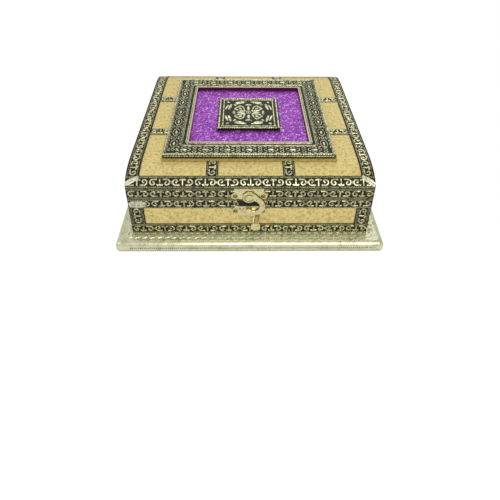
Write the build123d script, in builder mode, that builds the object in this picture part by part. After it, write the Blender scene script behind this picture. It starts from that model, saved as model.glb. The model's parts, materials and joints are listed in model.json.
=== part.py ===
# Foil-covered dry fruit box: domed lid, raised picture frame, swing-hook latch
# Millimetres, +Z up, front faces -Y, origin at the bottom centre of the plinth
import os

from build123d import *

# Body and plinth
body_width = 203.0
body_depth = 203.0
plinth_overhang = 13.4
plinth_thickness = 9.4
plinth_top_round = 4.5
plinth_bottom_round = 1.2
plinth_corner_round = 4.0
plinth_foil_thickness = 0.3
plinth_foil_lift = 0.6

# Heights measured up from the plinth's top face
split_height = 38.3
split_gap = 0.3
lid_rim_height = 10.8
shoulder_depth = 29.5
shoulder_rise = 11.5
shoulder_start = split_height + lid_rim_height
lid_height = shoulder_start + shoulder_rise

# Boards and coverings
wall_thickness = 6.0
skin_thickness = 3.0
floor_thickness = 3.0
lining_thickness = 0.8
paper_thickness = 0.25
foil_thickness = 0.5
board_inset = foil_thickness + paper_thickness
lining_drop = 1.2

# Compartment dividers
divider_thickness = 4.0
divider_drop = 5.35
divider_play = 0.1

# Embossed strips
foot_strip_height = 10.8
top_strip_height = 9.85
corner_strip_width = 12.3
side_strip_width = 10.9
cross_strip_width = 9.9
cross_strip_offset = 31.6
cross_strip_tuck = 6.0
shoulder_strip_height = 7.15
strip_joint = 0.1
shoulder_strip_lift = 0.2

# Raised frame on the lid
frame_shift_x = -0.95
frame_shift_y = -4.8
frame_half = 72.4
frame_opening_half = 53.8
frame_height = 5.3
frame_ledge = 1.4
frame_ledge_height = 1.7
frame_edge_bevel = 0.6
frame_lip_thickness = 1.4
frame_lip_rise = 0.15
panel_rise = 1.6
panel_play = 0.1
tile_half = 29.0
tile_rise = 4.9
tile_plate_thickness = 0.8
tile_plate_overlap = 0.4

# Swing-hook latch, its heights measured up or down from the joint under the lid
latch_x = -1.2
latch_plate_thickness = 0.8
latch_plate_bottom = 0.6
latch_plate_top = 11.3
latch_top_half = 12.1
latch_hole_half = 11.5
latch_hole_z = 3.8
latch_hole_radius = 1.8
latch_ear_radius = 3.3
pivot_z = 3.6
pivot_radius = 1.5
rivet_head_radius = 2.9
rivet_head_thickness = 0.9
running_clearance = 0.05
hook_thickness = 1.3
hook_standoff = 1.5
hook_eye_radius = 5.2
hook_curl_x = 2.45
hook_curl_z = -6.0
hook_inner_radius = 6.4
hook_outer_radius = 10.7
hook_shelf_z = -11.5
jaw_depth = 3.4
jaw_reach = 1.9
tab_x = 5.6
tab_half_width = 3.9
tab_bend_z = -19.3
tab_bottom = -28.9
tab_lean = 3.4
tab_root_rise = 1.5
tab_root_slope = 1.0
tab_neck_half = 2.3
tab_neck_shift = 1.4
pad_height = 6.0
pad_corner_round = 2.2
pad_overlap = 1.0
web_eye_angle = 45
web_curl_angle = 55
heel_drop = 2.2
heel_rise = 3.0
throat_reach = 2.6
seat_rise = 0.2
catch_bottom = -17.1
catch_top = -7.1
catch_hole_z = -12.1
stud_z = -10.7
stud_neck_radius = 1.1
stud_head_radius = 2.9
stud_head_thickness = 1.3
stud_clearance = 0.15
stud_head_gap = 0.4
head_round = 0.6
rivet_shoulder = 1.0

# Butt hinges let into the back of the joint
hinge_offset = 60.0
hinge_length = 25.0
hinge_knuckles = 3
knuckle_radius = 1.7
knuckle_gap = 0.2
hinge_pin_radius = 0.8
leaf_thickness = 0.8
leaf_width = 5.4
leaf_notch = 0.5
hinge_back_set = 0.1
barrel_clearance = 0.3
leaf_hole_spacing = 15.0

# Tacks
tack_shank_radius = 0.6
tack_head_radius = 1.3
tack_head_height = 0.7
tack_head_round = 0.7
tack_length = 5.0
leaf_tack_length = 4.0

# Places worked out from the sizes above
deck = plinth_thickness
split_z = deck + split_height
lid_bottom = split_z + split_gap / 2
base_top = split_z - split_gap / 2
board_half_x = body_width / 2 - board_inset
board_half_y = body_depth / 2 - board_inset
front_y = -body_depth / 2
inner_half_x = board_half_x - wall_thickness
inner_half_y = board_half_y - wall_thickness
hinge_y = body_depth / 2 - hinge_back_set
floor_top = deck + floor_thickness
lining_top = floor_top + lining_thickness
room_half_x = inner_half_x - lining_thickness
room_half_y = inner_half_y - lining_thickness
frame_base_z = deck + lid_height
frame_top_z = frame_base_z + frame_height
panel_bottom = frame_base_z - foil_thickness
panel_top = frame_base_z + panel_rise
plate_front = front_y - latch_plate_thickness
hook_back = front_y - hook_standoff
hook_front = hook_back - hook_thickness


def save(piece, label):
    """Label a finished piece and write its STEP file."""
    piece.part.label = label
    export_step(piece.part, f"parts/{label}.step")


def lid_section(inset, bottom):
    """Lid section as (depth, height) lines: upright rims, elliptical shoulders, flat crown."""
    half = body_depth / 2 - inset
    crown = deck + lid_height - inset
    spring = deck + shoulder_start
    flat = body_depth / 2 - shoulder_depth
    reach = shoulder_depth - inset
    rise = shoulder_rise - inset
    with BuildSketch(Plane.YZ) as section:
        with BuildLine():
            Polyline((-half, spring), (-half, bottom), (half, bottom), (half, spring))
            EllipticalCenterArc((flat, spring), reach, rise, 0, arc_size=90)
            Line((flat, crown), (-flat, crown))
            EllipticalCenterArc((-flat, spring), reach, rise, 90, arc_size=90)
        make_face()
    return section.sketch


def lid_solid(inset, bottom, half_width, centre_x=0.0):
    """The lid section drawn out along X, for use as a positive or a cutter."""
    face = lid_section(inset, bottom).moved(Location((centre_x, 0, 0)))
    return extrude(face, half_width, both=True, mode=Mode.PRIVATE)


def block(x0, x1, y0, y1, z0, z1, mode=Mode.ADD):
    """A plain block between two corners."""
    centre = ((x0 + x1) / 2, (y0 + y1) / 2, (z0 + z1) / 2)
    with Locations(centre):
        Box(x1 - x0, y1 - y0, z1 - z0, mode=mode)


def ring(half_x, half_y, thickness, z0, z1):
    """A square band round the body, outside half sizes given."""
    block(-half_x, half_x, -half_y, half_y, z0, z1)
    inner_x = half_x - thickness
    inner_y = half_y - thickness
    block(-inner_x, inner_x, -inner_y, inner_y, z0 - 1, z1 + 1, mode=Mode.SUBTRACT)


def rod(axis_plane, radius, length, mode=Mode.ADD):
    """A cylinder that starts on a plane and runs along its normal."""
    with Locations(axis_plane):
        Cylinder(radius, length, align=(Align.CENTER, Align.CENTER, Align.MIN), mode=mode)


def facing_front(x, y, z):
    """A plane at a point, with its normal pointing out of the front."""
    return Plane(origin=(x, y, z), x_dir=(1, 0, 0), z_dir=(0, -1, 0))


def cut_barrels():
    """Rounded grooves in the back edge that clear the two hinge barrels."""
    reach = hinge_length + 2 * barrel_clearance
    for side in (-1, 1):
        start = (side * hinge_offset - reach / 2, hinge_y, split_z)
        groove = Plane(origin=start, x_dir=(0, 1, 0), z_dir=(1, 0, 0))
        rod(groove, knuckle_radius + barrel_clearance, reach, mode=Mode.SUBTRACT)


def cut_leaves(z0, z1):
    """Shallow housings for the two hinge leaves of one body."""
    for side in (-1, 1):
        middle = side * hinge_offset
        half = hinge_length / 2
        y0 = hinge_y - knuckle_radius - leaf_width
        block(middle - half, middle + half, y0, hinge_y + 1, z0, z1, mode=Mode.SUBTRACT)


def leaf_hole_places():
    """Where the two tacks of each hinge leaf go, seen from above."""
    y = hinge_y - knuckle_radius - leaf_width / 2 - leaf_notch
    places = []
    for side in (-1, 1):
        for end in (-1, 1):
            places.append((side * hinge_offset + end * leaf_hole_spacing / 2, y))
    return places


def cut_leaf_tacks(face_z, direction):
    """Shank holes under the hinge leaves."""
    for x, y in leaf_hole_places():
        plane = Plane(origin=(x, y, face_z), z_dir=(0, 0, direction))
        rod(plane, tack_shank_radius, leaf_tack_length, mode=Mode.SUBTRACT)


def cut_front_tacks(z):
    """Shank holes for the two tacks that hold one latch plate."""
    for side in (-1, 1):
        plane = facing_front(latch_x + side * latch_hole_half, front_y + tack_length, z)
        rod(plane, tack_shank_radius, tack_length + 1, mode=Mode.SUBTRACT)


def cut_stud_hole():
    """The hole that the stud's neck is driven into."""
    plane = facing_front(latch_x, front_y + tack_length, split_z + stud_z)
    rod(plane, stud_neck_radius, tack_length + 1, mode=Mode.SUBTRACT)


os.makedirs("parts", exist_ok=True)

# Plinth board and its foil
plinth_half_x = body_width / 2 + plinth_overhang
plinth_half_y = body_depth / 2 + plinth_overhang


def plinth_block(inset, bottom):
    """The plinth's outer form, made smaller by inset."""
    half_x = plinth_half_x - inset
    half_y = plinth_half_y - inset
    block(-half_x, half_x, -half_y, half_y, bottom, plinth_thickness - inset)


with BuildPart() as plinth_board:
    plinth_block(plinth_foil_thickness, 0)
    fillet(plinth_board.edges().filter_by(Axis.Z), plinth_corner_round - plinth_foil_thickness)
    fillet(plinth_board.faces().sort_by(Axis.Z)[-1].edges(), plinth_top_round - plinth_foil_thickness)
    fillet(plinth_board.faces().sort_by(Axis.Z)[0].edges(), plinth_bottom_round)
save(plinth_board, "plinth_board")

with BuildPart() as plinth_foil:
    plinth_block(0, plinth_bottom_round + plinth_foil_lift)
    fillet(plinth_foil.edges().filter_by(Axis.Z), plinth_corner_round)
    fillet(plinth_foil.faces().sort_by(Axis.Z)[-1].edges(), plinth_top_round)
    add(plinth_board.part, mode=Mode.SUBTRACT)
    block(-board_half_x, board_half_x, -board_half_y, board_half_y, 0, deck + 1, mode=Mode.SUBTRACT)
save(plinth_foil, "plinth_foil")

# The base stands on the board inside the foil's cut-out
seat_z = plinth_thickness - plinth_foil_thickness

# Base walls and floor
for name, side in (("front_wall", -1), ("back_wall", 1)):
    with BuildPart() as wall:
        near, far = sorted((side * inner_half_y, side * board_half_y))
        block(-board_half_x, board_half_x, near, far, seat_z, base_top)
        if side > 0:
            cut_barrels()
            cut_leaves(base_top - leaf_thickness, base_top + 1)
            cut_leaf_tacks(base_top - leaf_thickness, -1)
        else:
            cut_front_tacks(split_z + catch_hole_z)
            cut_stud_hole()
    save(wall, name)

for name, side in (("left_wall", -1), ("right_wall", 1)):
    with BuildPart() as wall:
        near, far = sorted((side * inner_half_x, side * board_half_x))
        block(near, far, -inner_half_y, inner_half_y, seat_z, base_top)
    save(wall, name)

with BuildPart() as base_floor:
    block(-inner_half_x, inner_half_x, -inner_half_y, inner_half_y, seat_z, floor_top)
save(base_floor, "base_floor")

# Velvet inside the base
with BuildPart() as floor_lining:
    block(-inner_half_x, inner_half_x, -inner_half_y, inner_half_y, floor_top, lining_top)
save(floor_lining, "floor_lining")

with BuildPart() as wall_lining:
    ring(inner_half_x, inner_half_y, lining_thickness, lining_top, base_top - lining_drop)
save(wall_lining, "wall_lining")

# Two dividers halved into each other make four compartments
divider_top = base_top - divider_drop
divider_middle = (lining_top + divider_top) / 2
slot_half = divider_thickness / 2 + divider_play
divider_half = divider_thickness / 2

with BuildPart() as long_divider:
    block(-room_half_x, room_half_x, -divider_half, divider_half, lining_top, divider_top)
    block(-slot_half, slot_half, -divider_half, divider_half, divider_middle, divider_top,
          mode=Mode.SUBTRACT)
save(long_divider, "long_divider")

with BuildPart() as cross_divider:
    block(-divider_half, divider_half, -room_half_y, room_half_y, lining_top, divider_top)
    block(-divider_half, divider_half, -slot_half, slot_half, lining_top, divider_middle,
          mode=Mode.SUBTRACT)
save(cross_divider, "cross_divider")

# Gold paper and embossed strips round the base
half_x = body_width / 2
half_y = body_depth / 2
panel_z0 = deck + foot_strip_height
panel_z1 = deck + split_height - top_strip_height

with BuildPart() as base_paper:
    ring(half_x - foil_thickness, half_y - foil_thickness, paper_thickness, deck, base_top)
    cut_barrels()
    cut_front_tacks(split_z + catch_hole_z)
    cut_stud_hole()
save(base_paper, "base_paper")

with BuildPart() as foot_strip:
    ring(half_x, half_y, foil_thickness, deck, panel_z0)
save(foot_strip, "foot_strip")

with BuildPart() as top_strip:
    ring(half_x, half_y, foil_thickness, panel_z1, base_top)
    cut_barrels()
    cut_stud_hole()
save(top_strip, "top_strip")

for name, sx, sy in (("corner_strip_front_left", -1, -1), ("corner_strip_front_right", 1, -1),
                     ("corner_strip_back_left", -1, 1), ("corner_strip_back_right", 1, 1)):
    with BuildPart() as corner:
        x0, x1 = sorted((sx * half_x, sx * (half_x - corner_strip_width)))
        y0, y1 = sorted((sy * half_y, sy * (half_y - corner_strip_width)))
        block(x0, x1, y0, y1, panel_z0 + strip_joint, panel_z1 - strip_joint)
        inner_x = half_x - foil_thickness
        inner_y = half_y - foil_thickness
        block(-inner_x, inner_x, -inner_y, inner_y, deck, base_top, mode=Mode.SUBTRACT)
    save(corner, name)

# Lid boards
end_top_inset = board_inset + skin_thickness
for name, side in (("lid_left_board", -1), ("lid_right_board", 1)):
    with BuildPart() as end_board:
        middle = side * (board_half_x - wall_thickness / 2)
        add(lid_solid(end_top_inset, lid_bottom, wall_thickness / 2, middle))
        block(-board_half_x - 1, board_half_x + 1, inner_half_y, board_half_y + 1, lid_bottom - 1,
              deck + shoulder_start, mode=Mode.SUBTRACT)
        block(-board_half_x - 1, board_half_x + 1, -board_half_y - 1, -inner_half_y, lid_bottom - 1,
              deck + shoulder_start, mode=Mode.SUBTRACT)
    save(end_board, name)

for name, side in (("lid_front_rail", -1), ("lid_back_rail", 1)):
    with BuildPart() as rail:
        near, far = sorted((side * inner_half_y, side * board_half_y))
        block(-board_half_x, board_half_x, near, far, lid_bottom, deck + shoulder_start)
        if side > 0:
            cut_barrels()
            cut_leaves(lid_bottom - 1, lid_bottom + leaf_thickness)
            cut_leaf_tacks(lid_bottom + leaf_thickness, 1)
        else:
            cut_front_tacks(split_z + latch_hole_z)
    save(rail, name)

with BuildPart() as lid_skin:
    add(lid_solid(board_inset, lid_bottom, board_half_x))
    add(lid_solid(end_top_inset, lid_bottom - 1, board_half_x + 1), mode=Mode.SUBTRACT)
    block(-half_x, half_x, -half_y, half_y, deck, deck + shoulder_start, mode=Mode.SUBTRACT)
save(lid_skin, "lid_skin")

# Velvet inside the lid follows the rails, the ends and the bent skin
lining_bottom = lid_bottom + lining_drop
with BuildPart() as lid_lining:
    add(lid_solid(end_top_inset, lining_bottom, inner_half_x))
    add(lid_solid(end_top_inset + lining_thickness, lining_bottom - 1, inner_half_x - lining_thickness),
        mode=Mode.SUBTRACT)
    for side in (-1, 1):
        near, far = sorted((side * inner_half_y, side * (half_y + 1)))
        block(-half_x, half_x, near, far, lining_bottom - 1, deck + shoulder_start, mode=Mode.SUBTRACT)
    for side in (-1, 1):
        near, far = sorted((side * (inner_half_y - lining_thickness), side * inner_half_y))
        block(-inner_half_x, inner_half_x, near, far, lining_bottom,
              deck + shoulder_start + lining_thickness)
save(lid_lining, "lid_lining")

# Gold paper over the whole outside of the lid
with BuildPart() as lid_paper:
    add(lid_solid(foil_thickness, lid_bottom, half_x - foil_thickness))
    add(lid_solid(board_inset, lid_bottom - 1, board_half_x), mode=Mode.SUBTRACT)
    cut_barrels()
    cut_front_tacks(split_z + latch_hole_z)
save(lid_paper, "lid_paper")

# Embossed strips on the lid
with BuildPart() as lid_rim_strip:
    ring(half_x, half_y, foil_thickness, lid_bottom, deck + shoulder_start)
    cut_barrels()
    cut_front_tacks(split_z + latch_hole_z)
save(lid_rim_strip, "lid_rim_strip")


def foil_layer(half_width, centre_x=0.0):
    """The foil's thickness over the lid's section, drawn out along X."""
    add(lid_solid(0, lid_bottom, half_width, centre_x))
    add(lid_solid(foil_thickness, lid_bottom - 1, half_width + 1, centre_x), mode=Mode.SUBTRACT)


strip_z0 = deck + shoulder_start + shoulder_strip_lift
strip_z1 = strip_z0 + shoulder_strip_height
for name, side in (("shoulder_strip_front", -1), ("shoulder_strip_back", 1)):
    with BuildPart() as shoulder:
        foil_layer(half_x)
        near, far = sorted((0, side * (half_y + 1)))
        block(-half_x - 1, half_x + 1, near, far, strip_z0, strip_z1, mode=Mode.INTERSECT)
    save(shoulder, name)

for name, side in (("side_strip_left", -1), ("side_strip_right", 1)):
    with BuildPart() as side_strip:
        foil_layer(side_strip_width / 2, side * (half_x - side_strip_width / 2))
        block(-half_x - 1, half_x + 1, -half_y, half_y, strip_z1 + strip_joint, frame_base_z + 1,
              mode=Mode.INTERSECT)
    save(side_strip, name)

for name, side in (("end_strip_left", -1), ("end_strip_right", 1)):
    with BuildPart() as end_strip:
        middle = side * (half_x - foil_thickness / 2)
        add(lid_solid(foil_thickness, lid_bottom, foil_thickness / 2, middle))
        block(-half_x, half_x, -half_y, half_y, deck, strip_z0, mode=Mode.SUBTRACT)
    save(end_strip, name)

frame_left = frame_shift_x - frame_half - frame_ledge
frame_right = frame_shift_x + frame_half + frame_ledge
frame_front = frame_shift_y - frame_half - frame_ledge
frame_back = frame_shift_y + frame_half + frame_ledge

with BuildPart() as long_cross_strips:
    for place in (-cross_strip_offset, cross_strip_offset):
        foil_layer(cross_strip_width / 2, place)
    block(-half_x, half_x, -half_y, half_y, strip_z1 + strip_joint, frame_base_z + 1,
          mode=Mode.INTERSECT)
    block(-half_x, half_x, frame_front + cross_strip_tuck, frame_back - cross_strip_tuck,
          deck, frame_base_z + 1, mode=Mode.SUBTRACT)
save(long_cross_strips, "long_cross_strips")

with BuildPart() as short_cross_strips:
    outer = half_x - side_strip_width - strip_joint
    for place in (-cross_strip_offset, cross_strip_offset):
        y0 = place - cross_strip_width / 2
        block(-outer, outer, y0, y0 + cross_strip_width, frame_base_z - foil_thickness, frame_base_z)
    block(frame_left + cross_strip_tuck, frame_right - cross_strip_tuck, -half_y, half_y,
          deck, frame_base_z + 1, mode=Mode.SUBTRACT)
save(short_cross_strips, "short_cross_strips")


# Raised frame: a gold ledge under four mitred, embossed rails
def frame_place(x, y, z):
    """A point on the lid, measured from the frame's own centre."""
    return (frame_shift_x + x, frame_shift_y + y, z)


def mitred_rail(outer, inner, z0, z1, turn):
    """One side of a square frame, cut at 45 degrees at both ends and turned into place."""
    with BuildSketch(Plane(origin=frame_place(0, 0, z0)).rotated((0, 0, turn))) as plan:
        with BuildLine():
            Polyline((-outer, -outer), (outer, -outer), (inner, -inner), (-inner, -inner), close=True)
        make_face()
    extrude(plan.sketch, z1 - z0)


ledge_z = frame_base_z + frame_ledge_height
with BuildPart() as frame_backing:
    for turn in (0, 90, 180, 270):
        mitred_rail(frame_half + frame_ledge, frame_opening_half, frame_base_z, ledge_z, turn)
save(frame_backing, "frame_backing")

for name, turn in (("frame_rail_front", 0), ("frame_rail_right", 90),
                   ("frame_rail_back", 180), ("frame_rail_left", 270)):
    with BuildPart() as rail:
        mitred_rail(frame_half, frame_opening_half, ledge_z, frame_top_z, turn)
        top_face = rail.faces().sort_by(Axis.Z)[-1]
        chamfer(top_face.edges().sort_by(SortBy.LENGTH)[-1], frame_edge_bevel)
    save(rail, name)

lip_inner = frame_opening_half - frame_lip_thickness
with BuildPart() as frame_lip:
    for turn in (0, 90, 180, 270):
        mitred_rail(frame_opening_half, lip_inner, panel_bottom, frame_top_z + frame_lip_rise, turn)
save(frame_lip, "frame_lip")

# Purple panel in the frame, and the tile in its middle
panel_half = lip_inner - panel_play


def centred_square(half, z0, z1):
    """A square plate about the frame's centre."""
    x, y = frame_shift_x, frame_shift_y
    block(x - half, x + half, y - half, y + half, z0, z1)


with BuildPart() as purple_panel:
    centred_square(panel_half, panel_bottom, panel_top)
save(purple_panel, "purple_panel")

tile_top = frame_base_z + tile_rise
with BuildPart() as tile_block:
    centred_square(tile_half - tile_plate_overlap, panel_top, tile_top - tile_plate_thickness)
save(tile_block, "tile_block")

with BuildPart() as tile_plate:
    centred_square(tile_half, tile_top - tile_plate_thickness, tile_top)
save(tile_plate, "tile_plate")


# Latch plates: chamfered top corners and round ears, hollow of wood behind them
def ear_plate(bottom, top, top_half, hole_z):
    """A latch plate's face, drawn on the front with X across and Y up."""
    with BuildSketch(facing_front(latch_x, front_y, split_z)) as plan:
        with BuildLine():
            Polyline((-top_half, top), (top_half, top), (latch_hole_half, hole_z),
                     (latch_hole_half - latch_ear_radius, bottom),
                     (-latch_hole_half + latch_ear_radius, bottom), (-latch_hole_half, hole_z),
                     close=True)
        make_face()
        for side in (-1, 1):
            with Locations((side * latch_hole_half, hole_z)):
                Circle(latch_ear_radius)
    return plan.sketch


def plate_with_holes(bottom, top, top_half, hole_z):
    """A latch plate with its two tack holes."""
    extrude(ear_plate(bottom, top, top_half, hole_z), latch_plate_thickness)
    for side in (-1, 1):
        plane = facing_front(latch_x + side * latch_hole_half, front_y + 1, split_z + hole_z)
        rod(plane, latch_hole_radius, latch_plate_thickness + 2, mode=Mode.SUBTRACT)


with BuildPart() as latch_plate:
    plate_with_holes(latch_plate_bottom, latch_plate_top, latch_top_half, latch_hole_z)
    rod(facing_front(latch_x, front_y + 1, split_z + pivot_z), pivot_radius, 3, mode=Mode.SUBTRACT)
save(latch_plate, "latch_plate")

with BuildPart() as catch_plate:
    plate_with_holes(catch_bottom, catch_top, latch_top_half, catch_hole_z)
    cut_stud_hole()
save(catch_plate, "catch_plate")

# Stud that the hook's jaw passes under
head_y = hook_front - stud_head_gap
with BuildPart() as catch_stud:
    neck_back = front_y + tack_length
    rod(facing_front(latch_x, neck_back, split_z + stud_z), stud_neck_radius, neck_back - head_y)
    rod(facing_front(latch_x, head_y, split_z + stud_z), stud_head_radius, stud_head_thickness)
    fillet(catch_stud.faces().sort_by(Axis.Y)[0].edges(), stud_head_thickness * head_round)
save(catch_stud, "catch_stud")

# Rivet that the hook turns on, clenched in the latch plate
with BuildPart() as latch_rivet:
    rod(facing_front(latch_x, front_y, split_z + pivot_z), pivot_radius, front_y - hook_front)
    rod(facing_front(latch_x, plate_front, split_z + pivot_z), pivot_radius + rivet_shoulder,
        plate_front - hook_back - running_clearance)
    rod(facing_front(latch_x, hook_front - running_clearance, split_z + pivot_z), rivet_head_radius,
        rivet_head_thickness)
    rod(facing_front(latch_x, hook_front, split_z + pivot_z), pivot_radius, running_clearance)
    fillet(latch_rivet.faces().sort_by(Axis.Y)[0].edges(), rivet_head_thickness * head_round)
save(latch_rivet, "latch_rivet")


def hook_face():
    """The hook: an eye, a C-shaped arm open to the left, a jaw and the root of its thumb tab."""
    jaw_arc = pivot_z - stud_z + stud_neck_radius + stud_clearance
    seat_x = stud_neck_radius + stud_clearance
    tab_root = hook_shelf_z - jaw_depth + tab_root_slope
    neck_x = tab_x + tab_neck_shift
    with BuildSketch(facing_front(latch_x, hook_back, split_z)) as plan:
        with Locations((hook_curl_x, hook_curl_z)):
            Circle(hook_outer_radius)
            Circle(hook_inner_radius, mode=Mode.SUBTRACT)
        # Only the right side of the ring is kept, from the eye round to the jaw
        with Locations((hook_curl_x - hook_outer_radius, hook_curl_z)):
            Rectangle(2 * hook_outer_radius, 3 * hook_outer_radius, mode=Mode.SUBTRACT)
        with Locations((0, pivot_z)):
            Circle(hook_eye_radius)
        # Web between the eye and the curl
        eye_side = Vector(hook_eye_radius, 0).rotate(Axis.Z, web_eye_angle) + Vector(0, pivot_z)
        curl_side = Vector(hook_outer_radius, 0).rotate(Axis.Z, web_curl_angle)
        curl_side += Vector(hook_curl_x, hook_curl_z)
        with BuildLine():
            Polyline((0, pivot_z), eye_side, curl_side, (hook_curl_x, hook_curl_z + hook_inner_radius),
                     close=True)
        make_face()
        with BuildLine():
            Polyline((-jaw_reach, hook_shelf_z - jaw_depth), (tab_x, hook_shelf_z - jaw_depth - heel_drop),
                     (hook_curl_x + hook_inner_radius, hook_curl_z - heel_rise),
                     (hook_curl_x + throat_reach, hook_shelf_z), (seat_x, hook_shelf_z + seat_rise),
                     (seat_x, pivot_z - jaw_arc), (-jaw_reach, pivot_z - jaw_arc), close=True)
        make_face()
        with BuildLine():
            Polyline((neck_x - tab_neck_half, tab_root), (neck_x + tab_neck_half, tab_root + tab_root_slope),
                     (tab_x + tab_neck_half, tab_bend_z), (tab_x - tab_neck_half, tab_bend_z), close=True)
        make_face()
        with Locations((0, pivot_z)):
            Circle(pivot_radius + running_clearance, mode=Mode.SUBTRACT)
    return plan.sketch


with BuildPart() as latch_hook:
    extrude(hook_face(), hook_thickness)
    # Neck bent outwards below the jaw, then an upright thumb pad
    pad_top = tab_bottom + pad_height
    with BuildSketch(Plane(origin=(latch_x + tab_x, hook_back, split_z), x_dir=(0, -1, 0),
                           z_dir=(-1, 0, 0))) as neck_side:
        with BuildLine():
            Polyline((0, tab_bend_z + tab_root_rise), (hook_thickness, tab_bend_z + tab_root_rise),
                     (hook_thickness + tab_lean, pad_top),
                     (hook_thickness + tab_lean, pad_top - pad_overlap),
                     (tab_lean, pad_top - pad_overlap), (tab_lean, pad_top), close=True)
        make_face()
    extrude(neck_side.sketch, tab_neck_half, both=True)
    with BuildSketch(facing_front(latch_x, hook_back - tab_lean, split_z)) as pad:
        with Locations((tab_x, tab_bottom + pad_height / 2)):
            RectangleRounded(2 * tab_half_width, pad_height, pad_corner_round)
    extrude(pad.sketch, hook_thickness)
save(latch_hook, "latch_hook")


# Tacks with domed heads
def front_tack(x, z, head_back):
    """A tack driven into the front, its head against the covering."""
    rod(facing_front(x, front_y + tack_length, z), tack_shank_radius, tack_length)
    with Locations(facing_front(x, head_back, z)):
        Cylinder(tack_head_radius, tack_head_height, align=(Align.CENTER, Align.CENTER, Align.MIN))


for name, height in (("latch_tacks", latch_hole_z), ("catch_tacks", catch_hole_z)):
    with BuildPart() as tacks:
        for side in (-1, 1):
            front_tack(latch_x + side * latch_hole_half, split_z + height, front_y)
        fillet(tacks.faces().group_by(Axis.Y)[0].edges(), tack_head_height * tack_head_round)
    save(tacks, name)


# Butt hinges: middle knuckle on the lid's leaf, outer knuckles on the base's
def knuckle_spans(middle):
    """The three knuckles' start and end along X, with a gap between neighbours."""
    pitch = hinge_length / hinge_knuckles
    spans = []
    for number in range(hinge_knuckles):
        x0 = middle - hinge_length / 2 + number * pitch
        spans.append((x0 + knuckle_gap / 2, x0 + pitch - knuckle_gap / 2))
    return spans


def barrel_piece(x0, x1, radius, mode=Mode.ADD):
    """A round piece on the hinge's axis between two places along X."""
    rod(Plane(origin=(x0, hinge_y, split_z), x_dir=(0, 1, 0), z_dir=(1, 0, 0)), radius, x1 - x0, mode)


def leaf(middle, z0, z1, own, other, pin_clearance):
    """One hinge leaf with its knuckles, notched where the other leaf's knuckles turn."""
    y0 = hinge_y - knuckle_radius - leaf_width
    block(middle - hinge_length / 2, middle + hinge_length / 2, y0, hinge_y, z0, z1)
    for x0, x1 in other:
        block(x0 - knuckle_gap, x1 + knuckle_gap, hinge_y - knuckle_radius - leaf_notch, hinge_y + 1,
              z0 - 1, z1 + 1, mode=Mode.SUBTRACT)
    for x0, x1 in own:
        barrel_piece(x0, x1, knuckle_radius)
    barrel_piece(middle - hinge_length, middle + hinge_length, hinge_pin_radius + pin_clearance,
                 Mode.SUBTRACT)
    for x, y in leaf_hole_places():
        with Locations((x, y, (z0 + z1) / 2)):
            Cylinder(tack_shank_radius, 2 * leaf_thickness, mode=Mode.SUBTRACT)


for side_name, side in (("left", -1), ("right", 1)):
    middle = side * hinge_offset
    spans = knuckle_spans(middle)
    with BuildPart() as base_leaf:
        leaf(middle, base_top - leaf_thickness, base_top, spans[0::2], spans[1::2], 0)
    save(base_leaf, f"hinge_base_leaf_{side_name}")
    with BuildPart() as lid_leaf:
        leaf(middle, lid_bottom, lid_bottom + leaf_thickness, spans[1::2], spans[0::2], running_clearance)
    save(lid_leaf, f"hinge_lid_leaf_{side_name}")
    with BuildPart() as hinge_pin:
        barrel_piece(spans[0][0], spans[-1][1], hinge_pin_radius)
    save(hinge_pin, f"hinge_pin_{side_name}")

# Tacks through the leaves, shanks only, filed flush with the leaf
for name, face_z, direction in (("hinge_base_tacks", base_top, -1), ("hinge_lid_tacks", lid_bottom, 1)):
    with BuildPart() as leaf_tacks:
        for x, y in leaf_hole_places():
            plane = Plane(origin=(x, y, face_z), z_dir=(0, 0, direction))
            rod(plane, tack_shank_radius, leaf_thickness + leaf_tack_length)
    save(leaf_tacks, name)
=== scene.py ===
import json
import math
import random

import bmesh
import bpy
from mathutils import Matrix, Vector


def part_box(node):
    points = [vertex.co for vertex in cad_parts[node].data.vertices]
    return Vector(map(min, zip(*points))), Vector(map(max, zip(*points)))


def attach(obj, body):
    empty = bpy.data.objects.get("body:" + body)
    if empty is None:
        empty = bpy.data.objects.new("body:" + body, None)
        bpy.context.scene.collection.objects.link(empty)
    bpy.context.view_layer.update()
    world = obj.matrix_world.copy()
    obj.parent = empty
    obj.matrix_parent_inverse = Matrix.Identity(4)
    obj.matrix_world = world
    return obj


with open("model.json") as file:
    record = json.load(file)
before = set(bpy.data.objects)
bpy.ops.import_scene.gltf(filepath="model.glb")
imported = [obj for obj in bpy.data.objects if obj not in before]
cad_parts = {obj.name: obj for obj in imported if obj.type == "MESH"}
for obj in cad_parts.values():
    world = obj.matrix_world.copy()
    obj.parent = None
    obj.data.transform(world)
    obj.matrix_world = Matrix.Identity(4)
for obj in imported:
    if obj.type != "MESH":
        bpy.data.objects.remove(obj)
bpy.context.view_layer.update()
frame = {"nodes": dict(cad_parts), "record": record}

# Sizes here are millimetres in the frame's axes, turned into metres as each piece is finished
MM = 0.001


def box_mm(node):
    """A node's lowest and highest corners in millimetres."""
    low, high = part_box(node)
    return Vector(low) / MM, Vector(high) / MM


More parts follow.
